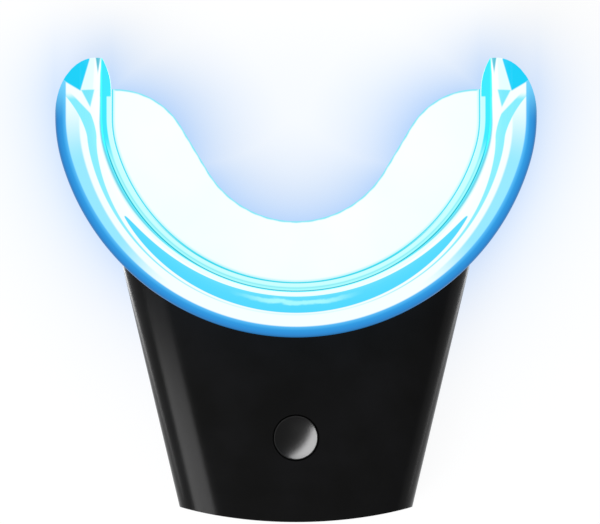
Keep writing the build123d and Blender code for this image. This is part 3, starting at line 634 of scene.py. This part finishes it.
finishes = {
    "clear_silicone": clearSilicone(), "frosted_silicone": frostedSilicone(), "led_package": packageFinish(),
    "black_gloss": blackGloss("black_gloss", roughness=0.24, ior=1.12),
    "black_button": blackGloss("black_button", roughness=0.32, ior=1.3),
}
for name, (light, dark, *look) in plainLooks.items():
    finishes[name] = plainFinish(name, colour(*light), colour(*dark), *look).material
for node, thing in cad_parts.items():
    for slot in thing.material_slots:
        base = slot.material.name.split(".")[0] if slot.material else ""
        if base in finishes:
            slot.material = finishes[base]
        else:
            print("no finish for", node, base)
print("finishes made")

fitOut(makeTray(), "housing", finishes["clear_silicone"], "clear_silicone", "mouth_tray")
print("tray made")
fitOut(makePlate(plate), "housing", finishes["frosted_silicone"], "frosted_silicone", "bite_plate")
print("plate made")


# the housing, two moulded shells that meet at a parting line

housing = {
    "noseY": -31.4, "rearY": 8.5, "noseRadius": 64.0, "noseRound": 0.8, "waistHalf": 24.7, "waistY": 8.0,
    "taper": radians(13.4), "height": 17.5, "crown": 90.0, "shoulder": 6.5, "keel": 4.0, "chinLength": 11.4,
    "chinRise": 2.4, "wall": 1.6, "partingZ": 8.4, "seam": 0.12, "gap": 0.35,
    "flatCells": 24, "roundCells": 14, "sideCells": 1, "alongCells": 44, "settleTurns": 8, "roundSteps": 5,
    "buttonY": -20.0, "buttonHole": 6.3, "holeDepth": 8.0, "holeSides": 96,
    "portWidth": 9.24, "portHeight": 3.56, "portZ": 11.63, "portDepth": 6.0, "portSteps": 12,
    "portRound": 0.999,  # share of half its height, so that the two rounds of an end don't meet
}


def rearPlace(x, z):
    # where the housing stops short of the tray's outer side, at a place across and a height; past the
    # bead it still follows the flange's arc, so the sole ends 4 mm short of the tray's lower rim
    height = abs(z - midZ)
    radius = flareRadius - tray["wall"] / 2 - housing["gap"]
    inset = flareCentre + sqrt(max(radius ** 2 - max(height - tray["waistHalf"], 0) ** 2, 0))
    bead = tray["bead"] + housing["gap"]
    off = abs(height - (midZ - tray["bead"]))
    if off < bead:
        inset = min(inset, tray["bead"] - sqrt(bead ** 2 - off ** 2))
    return min(housing["rearY"], frontCentreY - sqrt((frontRadius - inset) ** 2 - x ** 2))


def sideReach(y):
    # half of the housing's width at y
    return housing["waistHalf"] - (housing["waistY"] - y) * sin(housing["taper"]) / cos(housing["taper"])


def seamHeight(top):
    # the two shells leave a fine line between them
    return housing["partingZ"] + housing["seam"] / 2 * (1 if top else -1)


def sectionPoint(share, y, top):
    # a point of the housing's section at y, from the middle (0) round to the parting line (1)
    half = sideReach(y)
    cells = housing["flatCells"] + housing["roundCells"] + housing["sideCells"]
    flatEnd = housing["flatCells"] / cells
    roundEnd = (housing["flatCells"] + housing["roundCells"]) / cells
    seamZ = seamHeight(top)
    if top:
        radius = housing["shoulder"]
        reach = half - radius
        lift = sqrt((housing["crown"] - radius) ** 2 - reach ** 2)
        lean = atan2(reach, lift)
        centre = housing["height"] - housing["crown"]
        if share <= flatEnd:
            turn = lean * share / flatEnd
            return housing["crown"] * sin(turn), centre + housing["crown"] * cos(turn)
        if share <= roundEnd:
            turn = lean + (pi / 2 - lean) * (share - flatEnd) / (roundEnd - flatEnd)
            return reach + radius * sin(turn), centre + lift + radius * cos(turn)
        fall = (share - roundEnd) / (1 - roundEnd)
        return half, (centre + lift) * (1 - fall) + seamZ * fall
    radius = housing["keel"]
    chin = (housing["chinLength"] ** 2 + housing["chinRise"] ** 2) / (2 * housing["chinRise"])
    back = max(housing["noseY"] + housing["chinLength"] - y, 0)
    floorZ = chin - sqrt(chin ** 2 - back ** 2)
    if share <= flatEnd:
        return (half - radius) * share / flatEnd, floorZ
    if share <= roundEnd:
        turn = pi / 2 * (share - flatEnd) / (roundEnd - flatEnd)
        return half - radius + radius * sin(turn), max(radius - radius * cos(turn), floorZ)
    rise = (share - roundEnd) / (1 - roundEnd)
    return half, radius * (1 - rise) + seamZ * rise


def makeShell(name, top):
    # a grid laid over the section from parting line to parting line, and from the nose to the tray
    deselectAll()
    curved = housing["flatCells"] + housing["roundCells"]
    across = 2 * (curved + housing["sideCells"])
    bpy.ops.mesh.primitive_grid_add(x_subdivisions=across, y_subdivisions=housing["alongCells"], size=2)
    piece = bpy.context.object
    piece.name = name
    for vertex in piece.data.vertices:
        share, along = vertex.co.x, (vertex.co.y + 1) / 2
        vertex.select = along < hair / 10 and abs(share) < (curved + 0.5) * 2 / across
        y = housing["noseY"] * (1 - along)
        for turn in range(housing["settleTurns"]):
            x, z = sectionPoint(abs(share), y, top)
            nose = housing["noseY"] + housing["noseRadius"] - sqrt(housing["noseRadius"] ** 2 - x ** 2)
            y = nose * (1 - along) + rearPlace(x, z) * along
        vertex.co = Vector((x if share >= 0 else -x, y, z)) * mm
    for group in (piece.data.edges, piece.data.polygons):
        for part in group:
            part.select = False
    bpy.context.tool_settings.mesh_select_mode = (True, False, False)
    makeActive(piece)
    bpy.ops.object.mode_set(mode="EDIT")
    bpy.ops.mesh.extrude_region_move(TRANSFORM_OT_translate={"value": (0, 0, 0)})
    bpy.ops.object.mode_set(mode="OBJECT")
    for vertex in piece.data.vertices:
        if vertex.select:
            vertex.co.z = seamHeight(top) * mm
    tidyMesh(piece)
    applyModifier(piece, "BEVEL", width=housing["noseRound"] * mm, segments=housing["roundSteps"],
                  limit_method="ANGLE", angle_limit=radians(55))
    tidyMesh(piece, gap=0.000002)
    applyModifier(piece, "SOLIDIFY", thickness=housing["wall"] * mm, offset=-1)
    return piece


def cutAway(piece, cutter):
    applyModifier(piece, "BOOLEAN", object=cutter, operation="DIFFERENCE", solver="EXACT")
    bpy.data.objects.remove(cutter)


def makeTopShell():
    piece = makeShell("housing_top", True)
    deselectAll()
    place = (0, housing["buttonY"] * mm, housing["height"] * mm)
    bpy.ops.mesh.primitive_cylinder_add(vertices=housing["holeSides"], radius=housing["buttonHole"] / 2 * mm,
                                        depth=housing["holeDepth"] * mm, location=place)
    cutAway(piece, bpy.context.object)
    # the socket's slot: a block with its four long edges rounded
    deselectAll()
    place = (0, housing["noseY"] * mm, housing["portZ"] * mm)
    size = (housing["portWidth"] * mm, housing["portDepth"] * mm, housing["portHeight"] * mm)
    bpy.ops.mesh.primitive_cube_add(size=1, location=place, scale=size)
    slot = bpy.context.object
    bpy.ops.object.transform_apply(location=False, rotation=False, scale=True)
    editAll(slot)
    bpy.ops.mesh.select_all(action="DESELECT")
    bpy.ops.object.mode_set(mode="OBJECT")
    for edge in slot.data.edges:
        first, second = (slot.data.vertices[index].co for index in edge.vertices)
        edge.select = abs(first.y - second.y) > mm
    bpy.context.tool_settings.mesh_select_mode = (False, True, False)
    bpy.ops.object.mode_set(mode="EDIT")
    bpy.ops.mesh.bevel(offset=housing["portHeight"] / 2 * housing["portRound"] * mm, segments=housing["portSteps"])
    bpy.ops.object.mode_set(mode="OBJECT")
    bpy.context.tool_settings.mesh_select_mode = (True, False, False)
    cutAway(piece, slot)
    tidyMesh(piece, angle=30, gap=0.000001)
    return piece


def makeBottomShell():
    piece = makeShell("housing_bottom", False)
    tidyMesh(piece, angle=30, gap=0.000001)
    return piece


button = {
    "y": -20.0, "radius": 3.0, "top": 17.35, "rim": 0.15, "edge": 0.05, "dish": 0.9,
    "flangeRadius": 3.6, "flangeTop": 13.65, "flange": 0.9, "stemRadius": 1.2, "stemEnd": 12.45,
    "dishSteps": 16, "turns": 96,
}


def makeButton():
    # half of the cap's section, turned once round
    reach = button["radius"] - button["rim"]
    sphere = (reach ** 2 + button["dish"] ** 2) / (2 * button["dish"])
    centre = button["top"] - button["dish"] + sphere
    points = [(0, button["stemEnd"]), (button["stemRadius"], button["stemEnd"])]
    points += [(button["stemRadius"], button["flangeTop"] - button["flange"])]
    points += [(button["flangeRadius"], button["flangeTop"] - button["flange"])]
    points += [(button["flangeRadius"], button["flangeTop"]), (button["radius"], button["flangeTop"])]
    points += [(button["radius"], button["top"] - button["edge"])]
    points += [(button["radius"] - button["edge"], button["top"])]
    for step in range(button["dishSteps"], -1, -1):
        turn = asin(reach / sphere) * step / button["dishSteps"]
        points.append((sphere * sin(turn), centre - sphere * cos(turn)))
    deselectAll()
    bpy.ops.mesh.primitive_circle_add(vertices=len(points), radius=mm)
    piece = bpy.context.object
    piece.name = "dished_button"
    for vertex, (x, z) in zip(piece.data.vertices, points):
        vertex.co = Vector((x, button["y"], z)) * mm
    editAll(piece)
    centre = (0, button["y"] * mm, 0)
    bpy.ops.mesh.spin(steps=button["turns"], angle=2 * pi, center=centre, axis=(0, 0, 1))
    bpy.ops.object.mode_set(mode="OBJECT")
    tidyMesh(piece, angle=30, gap=0.000005)
    editAll(piece)
    bpy.ops.mesh.delete_loose()
    bpy.ops.object.mode_set(mode="OBJECT")
    return piece


# seal, light board and reflector inside the mouth, their upper corners kept under the shoulders

seal = {
    "inner": 31.82, "outer": 32.62, "angle": radians(40.3), "half": 5.4,
    "openAngle": radians(38.4), "openHalf": 4.2, "cover": 0.3, "rim": 1.2, "overcut": 1.0, "steps": 72,
}
boardStrip = {"inner": 30.82, "outer": 31.62, "half": 4.1, "angle": radians(37.69)}
reflectorStrip = {"cutFrom": 3.0}  # mm above the middle, where its top edge may be lowered


def roofHeight(x, y):
    # height of the top shell's outside over a place
    half = sideReach(y)
    reach = half - housing["shoulder"]
    lift = sqrt((housing["crown"] - housing["shoulder"]) ** 2 - reach ** 2)
    centre = housing["height"] - housing["crown"]
    x = min(abs(x), half)
    if x < reach * housing["crown"] / (housing["crown"] - housing["shoulder"]):
        return centre + sqrt(housing["crown"] ** 2 - x ** 2)
    return centre + lift + sqrt(housing["shoulder"] ** 2 - (x - reach) ** 2)


def makeArcBlock(name, size, half, angle, cover):
    # a block bent round the tray's front, its top held below the shell's outside
    inner, outer = size
    corners = ((inner, -half), (outer, -half), (outer, half), (inner, half))
    deselectAll()
    bpy.ops.mesh.primitive_circle_add(vertices=4, radius=mm)
    piece = bpy.context.object
    piece.name = name
    for vertex, (radius, height) in zip(piece.data.vertices, corners):
        vertex.co = Vector((radius * sin(angle), frontCentreY - radius * cos(angle), midZ + height)) * mm
    editAll(piece)
    centre = (0, frontCentreY * mm, 0)
    bpy.ops.mesh.spin(steps=seal["steps"], angle=2 * angle, center=centre, axis=(0, 0, 1))
    bpy.ops.mesh.select_all(action="SELECT")
    bpy.ops.mesh.fill_holes(sides=4)
    bpy.ops.object.mode_set(mode="OBJECT")
    for vertex in piece.data.vertices:
        x, y, z = vertex.co / mm
        if z > midZ:
            vertex.co.z = min(z, roofHeight(x, y) - cover) * mm
    tidyMesh(piece, gap=0.000001)
    return piece


def makeSeal():
    size = (seal["inner"], seal["outer"])
    piece = makeArcBlock("collar_seal_band", size, seal["half"], seal["angle"], seal["cover"])
    size = (seal["inner"] - seal["overcut"], seal["outer"] + seal["overcut"])
    opening = makeArcBlock("opening", size, seal["openHalf"], seal["openAngle"], seal["cover"] + seal["rim"])
    cutAway(piece, opening)
    tidyMesh(piece, gap=0.000001)
    return piece


def makeReflector():
    piece = smoothCopy("led_reflector", "reflector_strip")
    for vertex in piece.data.vertices:
        x, y, z = vertex.co / mm
        if z > midZ + reflectorStrip["cutFrom"]:
            vertex.co.z = min(z, roofHeight(x, y) - seal["cover"]) * mm
    return piece


def makeBoard():
    size = (boardStrip["inner"], boardStrip["outer"])
    return makeArcBlock("light_board_strip", size, boardStrip["half"], boardStrip["angle"], seal["cover"])


topShell = makeTopShell()
fitOut(topShell, "housing", finishes["black_gloss"], "black_gloss", "top_shell")
bottomShell = makeBottomShell()
fitOut(bottomShell, "housing", finishes["black_gloss"], "black_gloss", "bottom_shell")
buttonCap = makeButton()
fitOut(buttonCap, "button", finishes["black_button"], "black_button", "button_cap")
fitOut(makeReflector(), "housing", finishes["white_plastic"], "white_plastic", "led_reflector")
fitOut(makeBoard(), "housing", finishes["circuit_board"], "circuit_board", "led_board")
fitOut(makeSeal(), "housing", finishes["grey_silicone"], "grey_silicone", "collar_seal")
print("housing made")


# floor, lights and camera

studio = {
    "floor": 1.2, "floorGap": 0.0002, "floorCells": 4, "viewDistance": 2.0, "viewWidth": 0.08091, "sensor": 36,
    "viewX": 0.54, "viewY": 3.78, "air": 0.3,
}

# the pool of blue light on the floor, in millimetres, and the floor's whites
pool = {
    "tone": colour(190, 217, 254), "archReach": 13.9, "archY": 23.2, "narrowing": (27.0, 14.0), "molarY": 16.8,
    "sideInset": 7.4, "insideFall": 7.2, "outsideFall": 5.0, "outsideShare": 0.68, "blend": (-7.4, 0.0),
    "end": (41.0, 25.0), "strength": 0.92, "shadowShare": 0.1, "bounce": 0.12,
}


def makeFloor():
    deselectAll()
    cells = studio["floorCells"]
    drop = (0, 0, -studio["floorGap"])
    bpy.ops.mesh.primitive_grid_add(x_subdivisions=cells, y_subdivisions=cells,
                                    size=studio["floor"], location=drop)
    floor = bpy.context.object
    floor.name = "studio_floor"
    recipe = Recipe("floor_white", 0.9)
    # soft blue pool of light that follows the tray's curve
    x, y = [recipe.times(part, 1 / mm) for part in recipe.place()[:2]]
    x = recipe.sum("ABSOLUTE", x)

    def away(middleX, middleY, width=1.0, lift=None):
        # distance from a point, or from the line that runs on from it towards +Y
        across = recipe.times(recipe.sum("SUBTRACT", x, middleX), width)
        up = recipe.sum("SUBTRACT", y, middleY)
        if lift is not None:
            up = recipe.sum("MINIMUM", up, lift)
        return recipe.sum("SQRT", recipe.sum("ADD", recipe.times(across, across), recipe.times(up, up)))

    def fading(gap, fall):
        return recipe.sum("EXPONENT", recipe.times(recipe.sum("MAXIMUM", gap, 0.0), -1 / fall))

    outside = recipe.sum("SUBTRACT", away(0.0, frontCentreY, lift=0.0), frontRadius)
    arch = away(0.0, pool["archY"], width=recipe.step(y, *pool["narrowing"]), lift=0.0)
    arch = recipe.sum("SUBTRACT", pool["archReach"], arch)
    molar = away(halfWidth - plate["molarInset"], pool["molarY"])
    molar = recipe.sum("SUBTRACT", molar, plate["molarRadius"])
    side = recipe.sum("SUBTRACT", halfWidth - pool["sideInset"], x)
    inside = recipe.sum("MINIMUM", recipe.sum("MINIMUM", arch, molar), side)
    within = fading(inside, pool["insideFall"])
    beyond = recipe.times(fading(outside, pool["outsideFall"]), pool["outsideShare"])
    glow = recipe.mix(recipe.step(outside, *pool["blend"]), within, beyond)
    glow = recipe.times(glow, recipe.step(y, *pool["end"]))
    shade = recipe.mix(glow, (1.0, 1.0, 1.0, 1.0), pool["tone"])
    # seen and mirrored it is white by itself; a matt share takes the shadow; other rays meet a plain grey
    rays = recipe.node("ShaderNodeLightPath")
    seen = recipe.sum("ADD", rays.outputs["Is Camera Ray"], rays.outputs["Is Glossy Ray"], clamp=True)
    seen = recipe.sum("ADD", seen, rays.outputs["Is Transmission Ray"], clamp=True)
    bright = recipe.node("ShaderNodeEmission")
    recipe.link(shade, bright.inputs["Color"])
    bright.inputs["Strength"].default_value = pool["strength"]
    matt = recipe.node("ShaderNodeBsdfDiffuse")
    recipe.link(recipe.mix(1 - pool["shadowShare"], shade, (0.0, 0.0, 0.0, 1.0)), matt.inputs["Color"])
    both = recipe.node("ShaderNodeAddShader")
    recipe.link(bright.outputs[0], both.inputs[0])
    recipe.link(matt.outputs[0], both.inputs[1])
    plain = recipe.node("ShaderNodeBsdfDiffuse")
    plain.inputs["Color"].default_value = (pool["bounce"], pool["bounce"], pool["bounce"], 1.0)
    choose = recipe.node("ShaderNodeMixShader")
    for value, socket in zip((seen, plain.outputs[0], both.outputs[0]), choose.inputs):
        recipe.link(value, socket)
    recipe.link(choose.outputs[0], recipe.tree.nodes["Material Output"].inputs["Surface"])
    floor.data.materials.append(recipe.material)


def makeWorld():
    world = bpy.data.worlds.new("studio_air")
    world.use_nodes = True
    air = world.node_tree.nodes["Background"]
    air.inputs["Color"].default_value = (1.0, 1.0, 1.0, 1.0)
    air.inputs["Strength"].default_value = studio["air"]
    bpy.context.scene.world = world


# azimuth and tilt in degrees, distance, width and height in metres, power in watts, aim in millimetres
softboxes = {
    "left_softbox": (193.4, 58, 0.12, 0.058, 0.13, 0.45, (-17.5, -32, 14)),
    "button_softbox": (143, 54, 0.5, 1.7, 0.385, 62.0, (0, -20, 17)),
    "front_softbox": (250, 35, 0.6, 0.4, 0.4, 3.0, (0, 0, 10)),
}
edgeLights = {
    "width": 0.003, "length": 0.05, "x": 0.0295, "y": -0.008, "z": 0.0005,
    "left_edge_light": (-1, 0.002), "right_edge_light": (1, 0.001),  # side and power
}


def addLamp(name, width, height, power, place, turn, seenIn=None):
    # an area light; with a group of pieces it is only seen as a reflection in them
    light = bpy.data.lights.new(name, "AREA")
    light.shape = "RECTANGLE"
    light.size, light.size_y = width, height
    light.energy = power
    lamp = bpy.data.objects.new(name, light)
    bpy.context.scene.collection.objects.link(lamp)
    lamp.location, lamp.rotation_euler = place, turn
    lamp.visible_camera = False
    lamp.visible_glossy = seenIn is not None
    lamp.visible_diffuse = seenIn is None
    if seenIn:
        lamp.light_linking.receiver_collection = seenIn


def makeSoftbox(name, seenIn=None):
    azimuth, tilt, distance, width, height, power, aim = softboxes[name]
    azimuth, tilt = radians(azimuth), radians(tilt)
    away = Vector((sin(tilt) * cos(azimuth), sin(tilt) * sin(azimuth), cos(tilt)))
    turn = away.to_track_quat("Z", "Y").to_euler()
    addLamp(name, width, height, power, Vector(aim) * mm + away * distance, turn, seenIn)


def makeGroup(name, *pieces):
    group = bpy.data.collections.new(name)
    for piece in pieces:
        group.objects.link(piece)
    return group


makeFloor()
makeWorld()
shells = makeGroup("shells_lit", topShell, bottomShell)
makeSoftbox("left_softbox", shells)
makeSoftbox("button_softbox", makeGroup("button_lit", buttonCap))
makeSoftbox("front_softbox")
for name in ("left_edge_light", "right_edge_light"):
    side, power = edgeLights[name]
    place = (side * edgeLights["x"], edgeLights["y"], edgeLights["z"])
    turn = (pi, 0, side * housing["taper"])
    addLamp(name, edgeLights["width"], edgeLights["length"], power, place, turn, shells)

camera = bpy.data.objects.new("view", bpy.data.cameras.new("view"))
bpy.context.scene.collection.objects.link(camera)
camera.data.sensor_width = studio["sensor"]
camera.data.lens = studio["sensor"] * studio["viewDistance"] / studio["viewWidth"]
camera.location = (studio["viewX"] * mm, studio["viewY"] * mm, tray["height"] * mm + studio["viewDistance"])
bpy.context.scene.camera = camera
bpy.context.scene.view_settings.view_transform = "Standard"
print("studio made")
